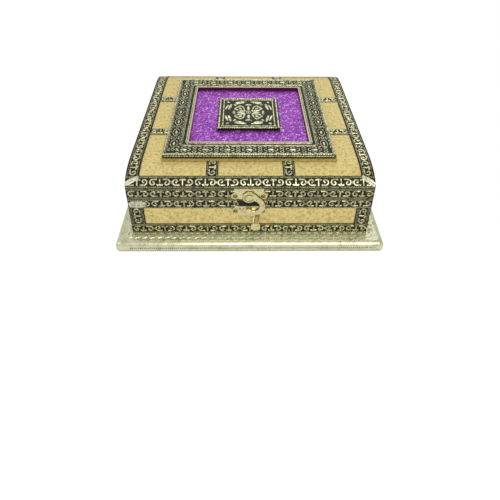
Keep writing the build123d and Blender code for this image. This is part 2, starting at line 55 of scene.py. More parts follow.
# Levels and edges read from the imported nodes
foot_low, foot_high = box_mm("foot_strip")
top_low, top_high = box_mm("top_strip")
rim_low, rim_high = box_mm("lid_rim_strip")
shoulder_low, shoulder_high = box_mm("shoulder_strip_front")
side_low, side_high = box_mm("side_strip_left")
corner_low, corner_high = box_mm("corner_strip_front_right")
rail_low, rail_high = box_mm("frame_rail_front")
panel_low, panel_high = box_mm("purple_panel")
tile_low, tile_high = box_mm("tile_plate")
plinth_high = box_mm("plinth_foil")[1]
rivet_low, rivet_high = box_mm("latch_rivet")
pivot = (rivet_low + rivet_high) / 2
body_half = foot_high.x
crown_z = side_high.z
spring_z = rim_high.z
shoulder_reach = 29.5
frame_x = (rail_low.x + rail_high.x) / 2
frame_half = (rail_high.x - rail_low.x) / 2
frame_y = rail_low.y + frame_half
rail_width = rail_high.y - rail_low.y
frame_top = rail_high.z

# Embossed relief
scroll_pitch = 18.0
relief_rise = 0.32
relief_sink = 0.06


# Camera, solved from the box's own edges in a 500 pixel frame
def set_camera():
    """The photograph's viewpoint, looking down at the front."""
    focal_px = 459.12
    frame_px = 500.0
    axis_row_px = 159.2
    place = Vector((-6.38, -391.93, 282.89 + plinth_high.z))
    turn = Matrix.Rotation(math.radians(-1.092), 3, "Z")
    dip = Matrix.Rotation(math.radians(-35.129), 3, "X")
    roll = Matrix.Rotation(math.radians(-0.674), 3, "Y")
    stand = Matrix.Rotation(math.radians(90), 3, "X")
    data = bpy.data.cameras.new("camera")
    data.sensor_width = 36.0
    data.lens = data.sensor_width * focal_px / frame_px
    data.shift_y = (axis_row_px - frame_px / 2) / frame_px
    data.clip_start = 0.01
    camera = bpy.data.objects.new("camera", data)
    camera.matrix_world = Matrix.Translation(place * MM) @ (turn @ dip @ roll @ stand).to_4x4()
    bpy.context.collection.objects.link(camera)
    bpy.context.scene.camera = camera


# Materials
def start_material(name, colour, metallic=0.0, roughness=0.5):
    """A material with its shader's plain values set, and its node tree to add to."""
    material = bpy.data.materials.new(name)
    material.use_nodes = True
    tree = material.node_tree
    shader = tree.nodes["Principled BSDF"]
    shader.inputs["Base Color"].default_value = (*colour, 1)
    shader.inputs["Metallic"].default_value = metallic
    shader.inputs["Roughness"].default_value = roughness
    return material, tree, shader


def texture(tree, kind, scale, stretch=(1, 1, 1), **settings):
    """A procedural texture on Object coordinates; scale is in features per metre."""
    place = tree.nodes.new("ShaderNodeTexCoord")
    mapping = tree.nodes.new("ShaderNodeMapping")
    mapping.inputs["Scale"].default_value = stretch
    tree.links.new(place.outputs["Object"], mapping.inputs["Vector"])
    node = tree.nodes.new(kind)
    node.inputs["Scale"].default_value = scale
    for key, value in settings.items():
        node.inputs[key].default_value = value
    tree.links.new(mapping.outputs["Vector"], node.inputs["Vector"])
    return node


def ramp(tree, source, stops):
    """Colours or greys spread over a texture's value."""
    node = tree.nodes.new("ShaderNodeValToRGB")
    tree.links.new(source, node.inputs["Fac"])
    points = node.color_ramp.elements
    while len(points) < len(stops):
        points.new(0.5)
    for point, (position, colour) in zip(points, stops):
        point.position = position
        point.color = (*colour, 1) if len(colour) == 3 else colour
    return node.outputs["Color"]


def grey(value):
    """A grey as a colour."""
    return (value, value, value)


def bump(tree, shader, source, strength, distance):
    """Fine surface height from a texture, chained after any bump already there."""
    node = tree.nodes.new("ShaderNodeBump")
    node.inputs["Strength"].default_value = strength
    node.inputs["Distance"].default_value = distance * MM
    tree.links.new(source, node.inputs["Height"])
    before = shader.inputs["Normal"].links
    if before:
        tree.links.new(before[0].from_socket, node.inputs["Normal"])
    tree.links.new(node.outputs["Normal"], shader.inputs["Normal"])


def foil_ground():
    """The dark oxidised ground of the embossed strips."""
    material, tree, shader = start_material("foil_ground", (0.02, 0.02, 0.008), 0.2, 0.5)
    shader.inputs["Specular IOR Level"].default_value = 0.35
    blotch = texture(tree, "ShaderNodeTexNoise", 900, Detail=6.0, Roughness=0.65)
    tree.links.new(ramp(tree, blotch.outputs["Fac"], [
        (0.42, (0.006, 0.007, 0.002)), (0.64, (0.022, 0.023, 0.008)), (0.82, (0.10, 0.10, 0.04))]),
        shader.inputs["Base Color"])
    grain = texture(tree, "ShaderNodeTexVoronoi", 1500)
    bump(tree, shader, grain.outputs["Distance"], 0.5, 0.08)
    tree.links.new(ramp(tree, blotch.outputs["Fac"], [(0.3, grey(0.35)), (0.7, grey(0.6))]),
                   shader.inputs["Roughness"])
    return material


def foil_relief(name="foil_relief", bright=(0.88, 0.85, 0.50), tarnish=(0.24, 0.23, 0.08)):
    """The rubbed, pale relief on the embossed strips."""
    material, tree, shader = start_material(name, bright, 0.7, 0.3)
    wear = texture(tree, "ShaderNodeTexNoise", 420, Detail=5.0, Roughness=0.6)
    tree.links.new(ramp(tree, wear.outputs["Fac"], [(0.36, tarnish), (0.52, bright), (0.72, bright)]),
                   shader.inputs["Base Color"])
    tree.links.new(ramp(tree, wear.outputs["Fac"], [(0.35, grey(0.45)), (0.65, grey(0.26))]),
                   shader.inputs["Roughness"])
    fine = texture(tree, "ShaderNodeTexNoise", 2600, Detail=3.0)
    bump(tree, shader, fine.outputs["Fac"], 0.35, 0.04)
    return material


def gold_paper(name="gold_paper", light=(0.88, 0.71, 0.28), deep=(0.50, 0.36, 0.10)):
    """Finely crinkled gold paper with a soft glitter."""
    material, tree, shader = start_material(name, light, 0.35, 0.45)
    crinkle = texture(tree, "ShaderNodeTexNoise", 430, Detail=8.0, Roughness=0.72)
    cells = texture(tree, "ShaderNodeTexVoronoi", 1100)
    tree.links.new(ramp(tree, crinkle.outputs["Fac"], [
        (0.34, deep), (0.5, light), (0.68, tuple(min(1.0, v * 1.2) for v in light))]),
        shader.inputs["Base Color"])
    tree.links.new(ramp(tree, cells.outputs["Distance"], [(0.1, grey(0.3)), (0.6, grey(0.6))]),
                   shader.inputs["Roughness"])
    bump(tree, shader, crinkle.outputs["Fac"], 0.55, 0.16)
    bump(tree, shader, cells.outputs["Distance"], 0.35, 0.1)
    return material


def plinth_foil():
    """Pale gold-silver foil over the plinth, softly dented."""
    material, tree, shader = start_material("plinth_foil", (0.86, 0.85, 0.56), 0.65, 0.26)
    tone = texture(tree, "ShaderNodeTexNoise", 160, Detail=6.0, Roughness=0.6)
    tree.links.new(ramp(tree, tone.outputs["Fac"], [
        (0.3, (0.58, 0.57, 0.30)), (0.5, (0.86, 0.85, 0.56)), (0.8, (0.95, 0.94, 0.74))]),
        shader.inputs["Base Color"])
    dents = texture(tree, "ShaderNodeTexNoise", 330, stretch=(1, 0.5, 1), Detail=6.0, Roughness=0.6)
    bump(tree, shader, dents.outputs["Fac"], 0.4, 0.3)
    tree.links.new(ramp(tree, dents.outputs["Fac"], [(0.35, grey(0.2)), (0.7, grey(0.34))]),
                   shader.inputs["Roughness"])
    return material


def purple_film():
    """Hammered metallic purple film whose colour rises to pale points, painted glints."""
    material, tree, shader = start_material("purple_film", (0.33, 0.05, 0.46), 0.55, 0.3)
    scales = texture(tree, "ShaderNodeTexVoronoi", 620)
    tone_and_painted_glint = texture(tree, "ShaderNodeTexVoronoi", 900)
    # Painted highlight: the palest stop of the colour paints pale glints
    tree.links.new(ramp(tree, tone_and_painted_glint.outputs["Color"], [
        (0.0, (0.20, 0.02, 0.30)), (0.45, (0.34, 0.045, 0.48)), (0.72, (0.5, 0.10, 0.66)),
        (0.9, (0.86, 0.6, 0.95))]), shader.inputs["Base Color"])
    bump(tree, shader, scales.outputs["Distance"], 0.7, 0.25)
    tree.links.new(ramp(tree, scales.outputs["Color"], [(0.2, grey(0.2)), (0.8, grey(0.42))]),
                   shader.inputs["Roughness"])
    return material


def brass(name="brass", bright=(0.93, 0.82, 0.44), dull=(0.60, 0.48, 0.18), deep=(0.10, 0.06, 0.01)):
    """Pale stamped brass, with painted shade: an ambient-occlusion mask turns it deep brown in its
    corners and crevices.
    """
    material, tree, shader = start_material(name, bright, 0.85, 0.3)
    tone = texture(tree, "ShaderNodeTexNoise", 260, Detail=5.0, Roughness=0.6)
    metal = ramp(tree, tone.outputs["Fac"], [(0.28, dull), (0.46, bright), (0.8, bright)])
    # Painted shade: ambient occlusion darkens corners and crevices towards the deep colour
    corners = tree.nodes.new("ShaderNodeAmbientOcclusion")
    corners.inputs["Distance"].default_value = 1.6 * MM
    mix = tree.nodes.new("ShaderNodeMixRGB")
    mix.inputs["Color1"].default_value = (*deep, 1)
    tree.links.new(ramp(tree, corners.outputs["AO"], [(0.35, grey(0)), (0.85, grey(1))]),
                   mix.inputs["Fac"])
    tree.links.new(metal, mix.inputs["Color2"])
    tree.links.new(mix.outputs["Color"], shader.inputs["Base Color"])
    tree.links.new(ramp(tree, tone.outputs["Fac"], [(0.3, grey(0.36)), (0.7, grey(0.2))]),
                   shader.inputs["Roughness"])
    scratch = texture(tree, "ShaderNodeTexNoise", 700, stretch=(1, 1, 0.1), Detail=4.0)
    bump(tree, shader, scratch.outputs["Fac"], 0.12, 0.04)
    return material


def painted_shade_brass():
    """A darker, brown copy of the brass: painted shade for the latch's recesses and its parts in
    shadow.
    """
    return brass("painted_shade_brass", (0.42, 0.31, 0.10), (0.16, 0.10, 0.03))


def lip_gold_with_painted_shade():
    """Gold foil on the lip's narrow top; its inner side painted dark wine-red as painted shade and
    painted reflection of the purple, set by which way each face points.
    """
    material, tree, shader = start_material("lip_gold", (0.62, 0.50, 0.30), 0.6, 0.35)
    shade_by_facing = tree.nodes.new("ShaderNodeNewGeometry")
    split = tree.nodes.new("ShaderNodeSeparateXYZ")
    tree.links.new(shade_by_facing.outputs["Normal"], split.inputs["Vector"])
    # Painted shade and painted reflection: faces pointing sideways or down turn dark wine-red, faces
    # pointing up stay gold
    tree.links.new(ramp(tree, split.outputs["Z"], [
        (0.2, (0.10, 0.015, 0.05)), (0.7, (0.62, 0.50, 0.30))]), shader.inputs["Base Color"])
    dents = texture(tree, "ShaderNodeTexNoise", 500, Detail=4.0)
    bump(tree, shader, dents.outputs["Fac"], 0.4, 0.1)
    return material


def velvet():
    """Maroon velvet with a short uneven pile."""
    material, tree, shader = start_material("velvet", (0.16, 0.008, 0.03), 0.0, 0.9)
    shader.inputs["Sheen Weight"].default_value = 0.8
    shader.inputs["Sheen Roughness"].default_value = 0.4
    shader.inputs["Sheen Tint"].default_value = (0.75, 0.2, 0.3, 1)
    pile = texture(tree, "ShaderNodeTexNoise", 1800, Detail=4.0)
    nap = texture(tree, "ShaderNodeTexNoise", 45, Detail=3.0)
    tree.links.new(ramp(tree, nap.outputs["Fac"], [
        (0.35, (0.10, 0.004, 0.018)), (0.65, (0.22, 0.012, 0.045))]), shader.inputs["Base Color"])
    bump(tree, shader, pile.outputs["Fac"], 0.7, 0.3)
    return material


def fibreboard():
    """Raw sawn fibreboard, seen at the edges when the lid is open and underneath."""
    material, tree, shader = start_material("fibreboard", (0.42, 0.29, 0.18), 0.0, 0.8)
    fibre = texture(tree, "ShaderNodeTexNoise", 1300, stretch=(1, 1, 2.5), Detail=6.0)
    tree.links.new(ramp(tree, fibre.outputs["Fac"], [
        (0.3, (0.27, 0.18, 0.10)), (0.7, (0.50, 0.36, 0.23))]), shader.inputs["Base Color"])
    bump(tree, shader, fibre.outputs["Fac"], 0.4, 0.1)
    return material


def finish_with(names, material):
    """Gives CAD nodes a finish."""
    for name in names:
        data = frame["nodes"][name].data
        data.materials.clear()
        data.materials.append(material)


# Ridges and beads are drawn flat, with S along a strip, T across it and H off its surface
def ridge_section(bm, centre, outward, width, rise):
    """The closed flat-topped section that a ridge starts from."""
    outward = Vector(outward).normalized() * width / 2
    corners = []
    for share, height in ((1.0, -relief_sink), (0.5, rise), (-0.5, rise), (-1.0, -relief_sink)):
        foot = Vector(centre) + outward * share
        corners.append(bm.verts.new((foot.x, foot.y, height)))
    face = bm.faces.new(corners)
    return list(face.edges)


def cap(bm, edges):
    """Closes the end of a ridge."""
    bmesh.ops.contextual_create(bm, geom=edges)


def curl(bm, edges, centre, degrees, steps):
    """Carries a ridge round a centre and returns the edges at its end."""
    turned = bmesh.ops.spin(bm, geom=edges, cent=(*centre, 0), axis=(0, 0, 1),
                            angle=math.radians(degrees), steps=steps, dvec=(0, 0, 0))
    return [part for part in turned["geom_last"] if isinstance(part, bmesh.types.BMEdge)]


def straight(bm, edges, step):
    """Carries a ridge straight on and returns the edges at its end."""
    grown = bmesh.ops.extrude_edge_only(bm, edges=edges)["geom"]
    corners = [part for part in grown if isinstance(part, bmesh.types.BMVert)]
    bmesh.ops.translate(bm, verts=corners, vec=(*step, 0))
    return [part for part in grown if isinstance(part, bmesh.types.BMEdge)
            and all(v in corners for v in part.verts)]


def scroll_arm(bm, side, rise):
    """One arm of the scroll: out along the foot, up round the outside and in to a small eye."""
    centre_x, centre_y, sweep, eye = side * 5.5, -0.1, 2.35, 1.25
    start = side * 2.3
    edges = ridge_section(bm, (start, centre_y - sweep), (0, 1), 1.4, rise)
    edges = straight(bm, edges, (centre_x - start, 0))
    edges = curl(bm, edges, (centre_x, centre_y), side * 180, 6)
    edges = curl(bm, edges, (centre_x, centre_y + sweep - eye), side * 130, 3)
    cap(bm, edges)
    lens(bm, (centre_x - side * 0.5, centre_y - 0.1), 1.9, 1.7, rise * 1.1)


def lens(bm, centre, length, width, rise, degrees=0.0):
    """A small pointed leaf with a crest, eight faces."""
    made = bmesh.ops.create_cone(bm, segments=6, radius1=1, radius2=0.62, depth=1, cap_ends=True)
    shape = made["verts"]
    bmesh.ops.scale(bm, verts=shape, vec=(length / 2, width / 2, rise + relief_sink))
    bmesh.ops.translate(bm, verts=shape, vec=(0, 0, (rise - relief_sink) / 2))
    bmesh.ops.rotate(bm, verts=shape, matrix=Matrix.Rotation(math.radians(degrees), 3, "Z"))
    bmesh.ops.translate(bm, verts=shape, vec=(*centre, 0))
    return shape


def scroll_unit():
    """A T-shaped palmette standing between two scrolls."""
    bm = bmesh.new()
    for side in (-1, 1):
        scroll_arm(bm, side, relief_rise)
        lens(bm, (side * 1.5, 2.2), 3.4, 1.9, relief_rise * 1.3, side * -20)
    stem = ridge_section(bm, (0, 2.6), (1, 0), 1.6, relief_rise * 1.2)
    stem = straight(bm, stem, (0, -5.4))
    cap(bm, stem)
    lens(bm, (-scroll_pitch / 2, 0), 0.8, 3.0, relief_rise * 0.8)
    return bm


def as_mesh(bm, name):
    """Turns a working mesh into mesh data, for repeating."""
    data = bpy.data.meshes.new(name)
    bm.to_mesh(data)
    bm.free()
    return data


def repeat(bm, count, step):
    """Doubles what a mesh holds until it stands count times in a row along S."""
    points = len(bm.verts)
    faces = len(bm.faces)
    done = 1
    while done < count:
        more = min(done, count - done)
        bm.verts.ensure_lookup_table()
        bm.faces.ensure_lookup_table()
        chosen = bm.verts[:more * points] + bm.faces[:more * faces]
        chosen += list({edge for face in bm.faces[:more * faces] for edge in face.edges})
        copied = bmesh.ops.duplicate(bm, geom=chosen)["geom"]
        fresh = [part for part in copied if isinstance(part, bmesh.types.BMVert)]
        bmesh.ops.translate(bm, verts=fresh, vec=(done * step, 0, 0))
        done += more


def bead_row(length, across, pitch=1.8, width=0.62, slant=0.5, rise=relief_rise):
    """A milled line: slanting beads side by side along a strip."""
    count = max(2, round(length / pitch))
    step = length / count
    bm = bmesh.new()
    made = bmesh.ops.create_cone(bm, segments=4, radius1=0.72, radius2=0.42, depth=1, cap_ends=True)
    shape = made["verts"]
    bmesh.ops.rotate(bm, verts=shape, matrix=Matrix.Rotation(math.radians(45), 3, "Z"))
    bmesh.ops.scale(bm, verts=shape, vec=(step * 0.72, width, rise + relief_sink))
    for corner in shape:
        corner.co.x += corner.co.y * slant / width * step
    start = -length / 2 + step / 2
    bmesh.ops.translate(bm, verts=shape, vec=(start, across, (rise - relief_sink) / 2))
    repeat(bm, count, step)
    return as_mesh(bm, "bead_row")


scroll_mesh = as_mesh(scroll_unit(), "scroll_unit")


def add_copy(bm, data, matrix=Matrix.Identity(4)):
    """Adds one copy of a stored shape to a working mesh, where the matrix puts it."""
    before = len(bm.verts)
    bm.from_mesh(data)
    bm.verts.ensure_lookup_table()
    bmesh.ops.transform(bm, matrix=matrix, verts=bm.verts[before:])


def plain_line(length, across, width=0.42, rise=0.2):
    """A plain raised line along a strip."""
    bm = bmesh.new()
    edges = ridge_section(bm, (-length / 2, across), (0, 1), width, rise)
    cap(bm, straight(bm, edges, (length, 0)))
    return as_mesh(bm, "plain_line")


def strip_relief(length, width, flip=False, flattened_in_hook_shadow=None):
    """The whole relief of one straight strip; no scroll stands behind the latch, where the foil is
    flattened and its bare dark ground is a painted shadow of the hook.
    """
    bm = bmesh.new()
    scroll_half = 3.1
    tall = min(1.0, (width - 2.0) / (2 * scroll_half))
    count = max(1, round(length / scroll_pitch))
    step = length / count
    wide = min(1.05, step / scroll_pitch)
    for number in range(count):
        turn = -1 if (number % 2 == 0) != flip else 1
        along = -length / 2 + (number + 0.5) * step
        if flattened_in_hook_shadow is not None and abs(along - flattened_in_hook_shadow) < step / 2:
            continue
        at = Matrix.Translation((along, 0, 0))
        add_copy(bm, scroll_mesh, at @ Matrix.Diagonal((wide * turn, tall * turn, 1, 1)))
    beads = min(scroll_half * tall + 0.75, width / 2 - 0.45)
    for side in (-1, 1):
        add_copy(bm, bead_row(length, side * beads))
        if width / 2 - beads > 1.0:
            add_copy(bm, plain_line(length, side * (width / 2 - 0.55)))
    return bm


def lay(bm, place):
    """Moves every point of a flat relief onto the surface it belongs to."""
    for corner in bm.verts:
        corner.co = Vector(place(*corner.co))


def make_piece(name, bm, material, body):
    """Finishes a working mesh, in millimetres, as a piece that rides on a body."""
    bmesh.ops.remove_doubles(bm, verts=bm.verts, dist=0.0005)
    bmesh.ops.recalc_face_normals(bm, faces=bm.faces)
    bmesh.ops.scale(bm, verts=bm.verts, vec=(MM, MM, MM))
    data = as_mesh(bm, name)
    data.materials.append(material)
    piece = bpy.data.objects.new(name, data)
    bpy.context.collection.objects.link(piece)
    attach(piece, body)
    return piece


def merge(bm, other):
    """Adds one working mesh to another and lets the other go."""
    data = as_mesh(other, "part")
    bm.from_mesh(data)
    bpy.data.meshes.remove(data)


def on_side(side, height):
    """Where flat strip points go on one upright face of the body."""
    def place(s, t, h):
        off = body_half + h
        up = height + t
        return {"front": (s, -off, up), "right": (off, s, up),
                "back": (-s, off, up), "left": (-off, -s, up)}[side]
    return place


SIDES = ("front", "right", "back", "left")


def course_relief(name, low, high, body, flip=False):
    """The relief of a strip that runs round all four faces."""
    whole = bmesh.new()
    for side in SIDES:
        # Partly painted shadow: the relief is left out behind the latch so the dark ground stands for
        # the hook's shadow
        flattened_in_hook_shadow = pivot.x if side == "front" and name == "top_relief" else None
        relief = strip_relief(2 * body_half - 1.0, high - low, flip, flattened_in_hook_shadow)
        lay(relief, on_side(side, (low + high) / 2))
        merge(whole, relief)
    return make_piece(name, whole, shaded_relief_finish, body)


# The lid's curved section as a path, measured along the surface from the front spring line
def section_points():
    """Points and outward directions along the lid's section, front to back."""
    flat = body_half - shoulder_reach
    rise = crown_z - spring_z
    points = []
    steps = 40
    for number in range(steps + 1):
        angle = math.pi / 2 * number / steps
        y = -flat - shoulder_reach * math.cos(angle)
        z = spring_z + rise * math.sin(angle)
        out = Vector((0, -math.cos(angle) / shoulder_reach, math.sin(angle) / rise)).normalized()
        points.append((Vector((0, y, z)), out))
    return points + [(Vector((0, -p.y, p.z)), Vector((0, -n.y, n.z))) for p, n in reversed(points)]


def section_lengths(points):
    """How far along the section each point lies."""
    lengths = [0.0]
    for (here, _), (there, _) in zip(points, points[1:]):
        lengths.append(lengths[-1] + (there - here).length)
    return lengths


lid_path = section_points()
lid_lengths = section_lengths(lid_path)
lid_run = lid_lengths[-1]


def over_lid(along, x, h):
    """A point on the lid, a distance along its section and a height off it."""
    along = min(max(along, 0.0), lid_run)
    number = 1
    while lid_lengths[number] < along and number < len(lid_lengths) - 1:
        number += 1
    span = lid_lengths[number] - lid_lengths[number - 1]
    share = (along - lid_lengths[number - 1]) / span if span else 0.0
    here, out = lid_path[number - 1]
    there, next_out = lid_path[number]
    point = here.lerp(there, share) + out.lerp(next_out, share).normalized() * h
    return (x, point.y, point.z)


def run_at_height(z):
    """How far along the front shoulder a height is reached."""
    for (point, _), along in zip(lid_path, lid_lengths):
        if point.z >= z:
            return along
    return lid_run / 2


def run_at_depth(y):
    """How far along the section a depth is reached."""
    for (point, _), along in zip(lid_path, lid_lengths):
        if point.y >= y:
            return along if point.y - y < 1 else along - (point.y - y)
    return lid_run


def shoulder_relief():
    """Relief on the strips along the front and back shoulders."""
    low = run_at_height(shoulder_low.z)
    high = run_at_height(shoulder_high.z)
    middle = (low + high) / 2
    for name, front in (("front", True), ("back", False)):
        relief = strip_relief(2 * body_half - 1.0, high - low, front)
        if front:
            lay(relief, lambda s, t, h: over_lid(middle + t, s, h))
        else:
            lay(relief, lambda s, t, h: over_lid(lid_run - middle - t, -s, h))
        make_piece(f"shoulder_relief_{name}", relief, relief_finish, "lid")


def side_reliefs():
    """Relief on the strips that run over the lid along its two sides."""
    start = run_at_height(shoulder_high.z) + 0.3
    length = lid_run - 2 * start
    width = side_high.x - side_low.x
    for name, side in (("left", -1), ("right", 1)):
        relief = strip_relief(length, width)
        x = side * (body_half - width / 2)
        lay(relief, lambda s, t, h: over_lid(lid_run / 2 + s, x - t, h))
        make_piece(f"side_relief_{name}", relief, relief_finish, "lid")


def end_reliefs():
    """Relief on the lid's two upright ends."""
    low = spring_z + 0.5
    high = crown_z - 0.6
    curve_end = run_at_depth(-81.0)
    for side, way in (("left", -1), ("right", 1)):
        relief = strip_relief(160.0, high - low)
        lay(relief, on_side(side, (low + high) / 2))
        for middle in (curve_end / 2 + 1.0, lid_run - curve_end / 2 - 1.0):
            corner = strip_relief(curve_end - 3.0, 6.4)
            lay(corner, lambda s, t, h: over_lid(middle + s, way * (body_half + h), t - 3.8))
            merge(relief, corner)
        make_piece(f"end_relief_{side}", relief, shaded_relief_finish, "lid")


def cross_reliefs():
    """Relief on the short strips that divide the gold fields round the frame."""
    offset = 31.6
    width = 9.9
    whole = bmesh.new()
    start = run_at_height(shoulder_high.z) + 0.3
    near = run_at_depth(frame_y - frame_half)
    far = run_at_depth(frame_y + frame_half)
    for place in (-offset, offset):
        for begin, end in ((start, near), (far, lid_run - start)):
            relief = strip_relief(end - begin, width)
            middle = (begin + end) / 2
            lay(relief, lambda s, t, h: over_lid(middle + s, place - t, h))
            merge(whole, relief)
    inner = body_half - (side_high.x - side_low.x)
    for place in (-offset, offset):
        for begin, end in ((-inner, frame_x - frame_half), (frame_x + frame_half, inner)):
            relief = strip_relief(end - begin, width)
            middle = (begin + end) / 2
            lay(relief, lambda s, t, h: (middle + s, place + t, crown_z + h))
            merge(whole, relief)
    make_piece("cross_relief", whole, relief_finish, "lid")


def corner_reliefs():
    """Relief on the upright corner strips of the base."""
    length = corner_high.z - corner_low.z
    width = corner_high.x - corner_low.x
    height = (corner_high.z + corner_low.z) / 2
    whole = bmesh.new()
    for side in SIDES:
        for hand in (-1, 1):
            relief = strip_relief(length, width - 1.2, hand > 0)
            put = on_side(side, height)
            middle = hand * (body_half - width / 2)
            lay(relief, lambda s, t, h: put(middle + t, s, h))
            merge(whole, relief)
    make_piece("corner_relief", whole, shaded_relief_finish, "base")


# Raised frame
def on_frame(turn):
    """Where flat points go on one rail, T measured inwards from the rail's middle line."""
    spin = Matrix.Rotation(math.radians(turn), 3, "Z")
    middle = frame_half - rail_width / 2

    def place(s, t, h):
        point = spin @ Vector((s, -middle + t, 0))
        return (frame_x + point.x, frame_y + point.y, frame_top + h)
    return place


def ring_of(bm, centre, length, width, line, rise, segments=12):
    """A raised oval line made by spinning a ridge and stretching it."""
    before = set(bm.verts)
    edges = ridge_section(bm, (1.0, 0), (1, 0), line, rise)
    face = edges[0].link_faces[0]
    bmesh.ops.delete(bm, geom=[face], context="FACES_ONLY")
    bmesh.ops.spin(bm, geom=edges, cent=(0, 0, 0), axis=(0, 0, 1), angle=math.tau,
                   steps=segments, use_merge=True, dvec=(0, 0, 0))
    fresh = [corner for corner in bm.verts if corner not in before]
    bmesh.ops.scale(bm, verts=fresh, vec=(length / 2, width / 2, 1))
    bmesh.ops.translate(bm, verts=fresh, vec=(*centre, 0))


def frame_unit(pitch):
    """An eye-shaped leaf in a ring of dashes, and a small ringed rosette beside it."""
    bm = bmesh.new()
    rise = relief_rise * 1.2
    dashes = 12
    ring_long, ring_short = 5.6, 2.9
    lens(bm, (0, 0), 6.6, 2.3, rise * 1.3)
    for number in range(dashes):
        angle = math.tau * (number + 0.5) / dashes
        at = (ring_long * math.cos(angle), ring_short * math.sin(angle))
        lean = math.degrees(math.atan2(ring_short * math.cos(angle), -ring_long * math.sin(angle)))
        lens(bm, at, 2.3, 0.85, rise, lean)
    ring_of(bm, (pitch / 2, 0), 3.0, 3.0, 0.38, rise, 8)
    for side in (-1, 1):
        for x in (-1.3, 1.3):
            lens(bm, (pitch / 2 + x, side * 3.0), 1.7, 1.2, rise, side * x * 30)
        for x in (-0.27, 0.0, 0.27):
            lens(bm, (x * pitch, side * 4.7), pitch * 0.2, 0.75, rise * 0.9)
        lens(bm, (pitch / 2, side * 4.5), pitch * 0.16, 0.75, rise * 0.9)
    return as_mesh(bm, "frame_unit")


def frame_relief():
    """Ornament on the frame's four rails, with a rope line outside and thin lines inside."""
    outward = 1.7
    eye_pitch = 18.8
    middle = frame_half - rail_width / 2
    length = 2 * (middle + outward)
    count = round(length / eye_pitch)
    pitch = length / count
    unit = frame_unit(pitch)
    for name, turn in (("front", 0), ("right", 90), ("back", 180), ("left", 270)):
        bm = bmesh.new()
        for number in range(count):
            at = (-length / 2 + (number + 0.5) * pitch, -outward, 0)
            add_copy(bm, unit, Matrix.Translation(at))
        for across, width, rope in ((-8.5, 1.3, True), (-7.4, 0.5, False), (4.2, 0.6, False),
                                    (5.3, 0.5, False), (8.4, 0.9, False)):
            long = 2 * (middle - across) - 1.0
            row = bead_row(long, across, 1.9, width, 0.5) if rope else plain_line(long, across, width)
            add_copy(bm, row)
        lay(bm, on_frame(turn))
        edge = bmesh.new()
        add_copy(edge, bead_row(2 * frame_half - 2.0, 0, 2.3, 1.3, 0.6, 0.3))
        spin = Matrix.Rotation(math.radians(turn), 3, "Z")
        centre = Vector((frame_x, frame_y, frame_top - 1.6))
        lay(edge, lambda s, t, h: centre + spin @ Vector((s, -frame_half - h, t)))
        merge(bm, edge)
        make_piece(f"frame_relief_{name}", bm, frame_relief_finish, "lid")


# Centre tile
def stroke(bm, points, width, rise):
    """Raised straight strokes from point to point."""
    for here, there in zip(points, points[1:]):
        step = Vector(there) - Vector(here)
        edges = ridge_section(bm, here, (-step.y, step.x), width, rise)
        cap(bm, straight(bm, edges, step))


def tile_relief():
    """A four-petalled flower with pointed loops, corner leaves and dots, between raised lines."""
    bm = bmesh.new()
    rise = 0.5
    half = (tile_high.x - tile_low.x) / 2
    ring_of(bm, (0, 0), 4.4, 4.4, 0.34, rise)
    lens(bm, (0, 0), 1.9, 1.9, rise)
    for side in (-1, 1):
        lens(bm, (0, side * 8.2), 9.4, 3.4, rise, 90)
        lens(bm, (0, side * 14.9), 7.4, 3.4, rise)
        lens(bm, (side * 7.6, 0), 8.6, 3.6, rise)
        lens(bm, (side * 14.0, 0), 3.2, 8.4, rise)
        for x in (-1, 1):
            loop = [(x * 3.2, side * 2.4), (x * 5.2, side * 10.6), (x * 8.2, side * 12.8),
                    (x * 13.4, side * 7.0), (x * 10.2, side * 4.0), (x * 3.2, side * 2.4)]
            stroke(bm, loop, 1.5, rise)
            lens(bm, (x * 7.9, side * 7.6), 5.2, 3.0, rise, x * side * 40)
            lens(bm, (x * 17.9, side * 11.2), 14.0, 3.2, rise, 90 + x * side * 12)
            lens(bm, (x * 21.0, side * 10.4), 12.5, 2.4, rise, 90 + x * side * 16)
            lens(bm, (x * 7.6, side * 20.4), 13.5, 2.6, rise, x * side * -8)
            lens(bm, (x * 8.8, side * 17.9), 10.5, 1.9, rise, x * side * -12)
            lens(bm, (x * 13.2, side * 14.8), 4.8, 2.2, rise, x * side * 50)
            lens(bm, (x * 19.8, side * 20.6), 3.4, 2.4, rise, x * side * 20)
    across = Matrix.Rotation(math.radians(90), 4, "Z")
    for side in (-1, 1):
        add_copy(bm, bead_row(2 * half - 1.2, side * (half - 0.7), 2.1, 1.3, 0.6, 0.4))
        add_copy(bm, plain_line(2 * half - 7.0, side * (half - 3.6), 0.8, 0.35))
        add_copy(bm, plain_line(2 * half - 3.0, side * (half - 1.6), 1.6, 0.45), across)
        add_copy(bm, plain_line(2 * half - 6.0, side * (half - 5.0), 1.3, 0.45), across)
    lay(bm, lambda s, t, h: (frame_x + s, frame_y + t, tile_high.z + h))
    make_piece("tile_relief", bm, frame_relief_finish, "lid")


def purple_sheet():
    """The hammered film itself, a fine net of small facets over the purple card."""
    bm = bmesh.new()
    half = (panel_high.x - panel_low.x) / 2 - 0.05
    steps = 96
    sway = 0.28
    depth = 0.24
    bmesh.ops.create_grid(bm, x_segments=steps, y_segments=steps, size=half)
    dents = random.Random(7)
    for corner in bm.verts:
        inside = max(abs(corner.co.x), abs(corner.co.y)) < half - 0.1
        if inside:
            corner.co.x += dents.uniform(-sway, sway)
            corner.co.y += dents.uniform(-sway, sway)
        corner.co.z = panel_high.z + 0.2 + (dents.uniform(-depth, depth) if inside else 0.0)
        corner.co.x += frame_x
        corner.co.y += frame_y
    rim = [edge for edge in bm.edges if edge.is_boundary]
    skirt = bmesh.ops.extrude_edge_only(bm, edges=rim)["geom"]
    for part in skirt:
        if isinstance(part, bmesh.types.BMVert):
            part.co.z = panel_high.z - 0.4
    make_piece("purple_sheet", bm, purple_finish, "lid")


